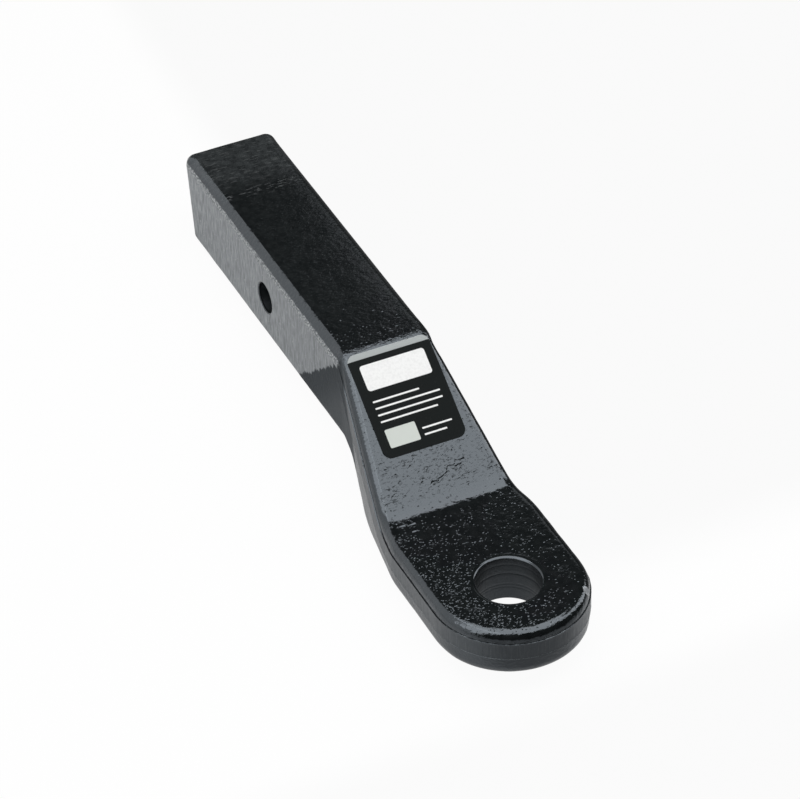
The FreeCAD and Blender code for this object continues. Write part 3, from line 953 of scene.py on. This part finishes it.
# The floor's own white: near the bar, where it becomes full, and its share in reflections
FLOOR_GLOW, FLOOR_FAR, FLOOR_GLOW_IN_GLOSS = 0.95, (0.5, 2.0), 0.3


def floor_glow(tree, place, behind):
    """Share of its own white that the floor shows to the camera, through glass and, less, in reflections."""
    path = add_node(tree, "LightPath").outputs
    distance = add_node(tree, "VectorMath", {0: place}, operation="LENGTH").outputs["Value"]
    white = stepped(tree, distance, *FLOOR_FAR, FLOOR_GLOW, 1.0)
    seen = product(tree, calc(tree, "MAXIMUM", path["Is Camera Ray"], path["Is Transmission Ray"]), white)
    in_gloss = calc(tree, "MULTIPLY_ADD", behind, -FLOOR_GLOW_IN_GLOSS, FLOOR_GLOW_IN_GLOSS)
    return calc(tree, "MAXIMUM", seen, product(tree, path["Is Glossy Ray"], in_gloss))


def white_floor():
    material, tree, shader = new_finish("white_floor")
    place = add_node(tree, "TexCoord").outputs["Object"]
    way = add_node(tree, "SeparateXYZ", {"Vector": place}).outputs
    # Painted shade behind the bar on its right; the floor's white also stays out of reflections there
    behind = product(tree, stepped(tree, way["X"], *FLOOR_BEHIND), stepped(tree, way["Y"], *FLOOR_RIGHT))
    paper_and_shade = blended(tree, mottled(tree, place, 30.0, 3.0), *PAPER_TONES)
    # Painted shade on the floor in front of the bar
    paper_and_shade = blended(tree, stepped(tree, way["X"], *FLOOR_FRONT), paper_and_shade, FRONT_SHADE_TONE)
    paper_and_shade = blended(tree, behind, paper_and_shade, BEHIND_SHADE_TONE)
    tree.links.new(paper_and_shade, shader["Base Color"])
    shader["Roughness"].default_value = PAPER_ROUGHNESS
    shader["Specular IOR Level"].default_value = PAPER_SPECULAR
    glow = add_node(tree, "Emission", {"Color": (1, 1, 1, 1), "Strength": 1.0})
    lit = tree.nodes["Principled BSDF"].outputs[0]
    mix = add_node(tree, "MixShader", {0: floor_glow(tree, place, behind), 1: lit, 2: glow.outputs[0]})
    from_below = add_node(tree, "NewGeometry").outputs["Backfacing"]
    clear = add_node(tree, "BsdfTransparent").outputs[0]
    one_sided = add_node(tree, "MixShader", {0: from_below, 1: mix.outputs[0], 2: clear})
    tree.links.new(one_sided.outputs[0], tree.nodes["Material Output"].inputs["Surface"])
    return material


def studio_floor():
    mesh = bpy.data.meshes.new("studio_floor")
    half = FLOOR_SIZE / 2
    corners = [(-half, -half, 0), (half, -half, 0), (half, half, 0), (-half, half, 0)]
    mesh.from_pydata(corners, [], [(0, 1, 2, 3)])
    floor = bpy.data.objects.new("studio_floor", mesh)
    bpy.context.scene.collection.objects.link(floor)
    floor.matrix_world = Matrix.Translation(HEEL_POINT) @ Matrix.Rotation(FLOOR_LEAN, 4, "Y")
    mesh.materials.append(white_floor())


# Lamps: name, place, aim and size in metres, brightness of the face, twist about the aim in degrees
SOFT_BOXES = [
    ("overhead_box", (0.28, 0.055, 1.0), (0.28, 0.055, 0.0), (1.12, 1.13), 2.64, 0.0),
    ("left_box", (0.35, -0.755, 0.7), (0.35, 0.0, 0.083), (0.6, 0.775), 1.9, 0.0),
    ("right_box", (0.22, 0.78, 0.62), (0.22, 0.0, 0.3), (0.4, 0.95), 2.64, 25.0),
    ("back_box", (-0.415, 0.4, 0.35), (-0.415, 0.4, 0.0), (0.29, 0.32), 0.4, 0.0),
]


def soft_box(name, place, aim, size, radiance, twist):
    """A rectangular lamp that the camera doesn't see."""
    data = bpy.data.lights.new(name, "AREA")
    data.shape = "RECTANGLE"
    data.size, data.size_y = size
    data.energy = radiance * math.pi * size[0] * size[1]
    lamp = bpy.data.objects.new(name, data)
    bpy.context.scene.collection.objects.link(lamp)
    lamp.location = place
    turn = (Vector(aim) - Vector(place)).to_track_quat("-Z", "Y").to_matrix()
    lamp.rotation_euler = (turn @ Matrix.Rotation(math.radians(twist), 3, "Z")).to_euler()
    lamp.visible_camera = False


# The studio: a wall on the left, from well behind the bar to a little ahead of it, and dark elsewhere
WALL_SIDE = (-0.30, -0.20)
WALL_AHEAD = (0.30, 0.42)
WALL_LIGHT, WALL_LIGHT_IN_GLOSS = 0.7, 1.0
DARK_LIGHT = 0.02


def studio_world():
    world = bpy.data.worlds.new("studio")
    bpy.context.scene.world = world
    world.use_nodes = True
    tree = world.node_tree
    way = add_node(tree, "SeparateXYZ", {"Vector": add_node(tree, "TexCoord").outputs["Generated"]}).outputs
    path = add_node(tree, "LightPath").outputs
    seen = calc(tree, "MAXIMUM", path["Is Camera Ray"], path["Is Transmission Ray"])
    brighter = WALL_LIGHT_IN_GLOSS - WALL_LIGHT
    wall_light = calc(tree, "MULTIPLY_ADD", path["Is Glossy Ray"], brighter, WALL_LIGHT - DARK_LIGHT)
    on_left = stepped(tree, way["Y"], *WALL_SIDE, 1.0, 0.0)
    not_ahead = stepped(tree, way["X"], *WALL_AHEAD, 1.0, 0.0)
    light = calc(tree, "MULTIPLY_ADD", product(tree, on_left, not_ahead), wall_light, DARK_LIGHT)
    shade = blended(tree, seen, light, (1.0, 1.0, 1.0))
    tree.links.new(shade, tree.nodes["Background"].inputs["Color"])


photo_camera()
studio_floor()
for box in SOFT_BOXES:
    soft_box(*box)
studio_world()
bpy.context.scene.view_settings.view_transform = "Standard"
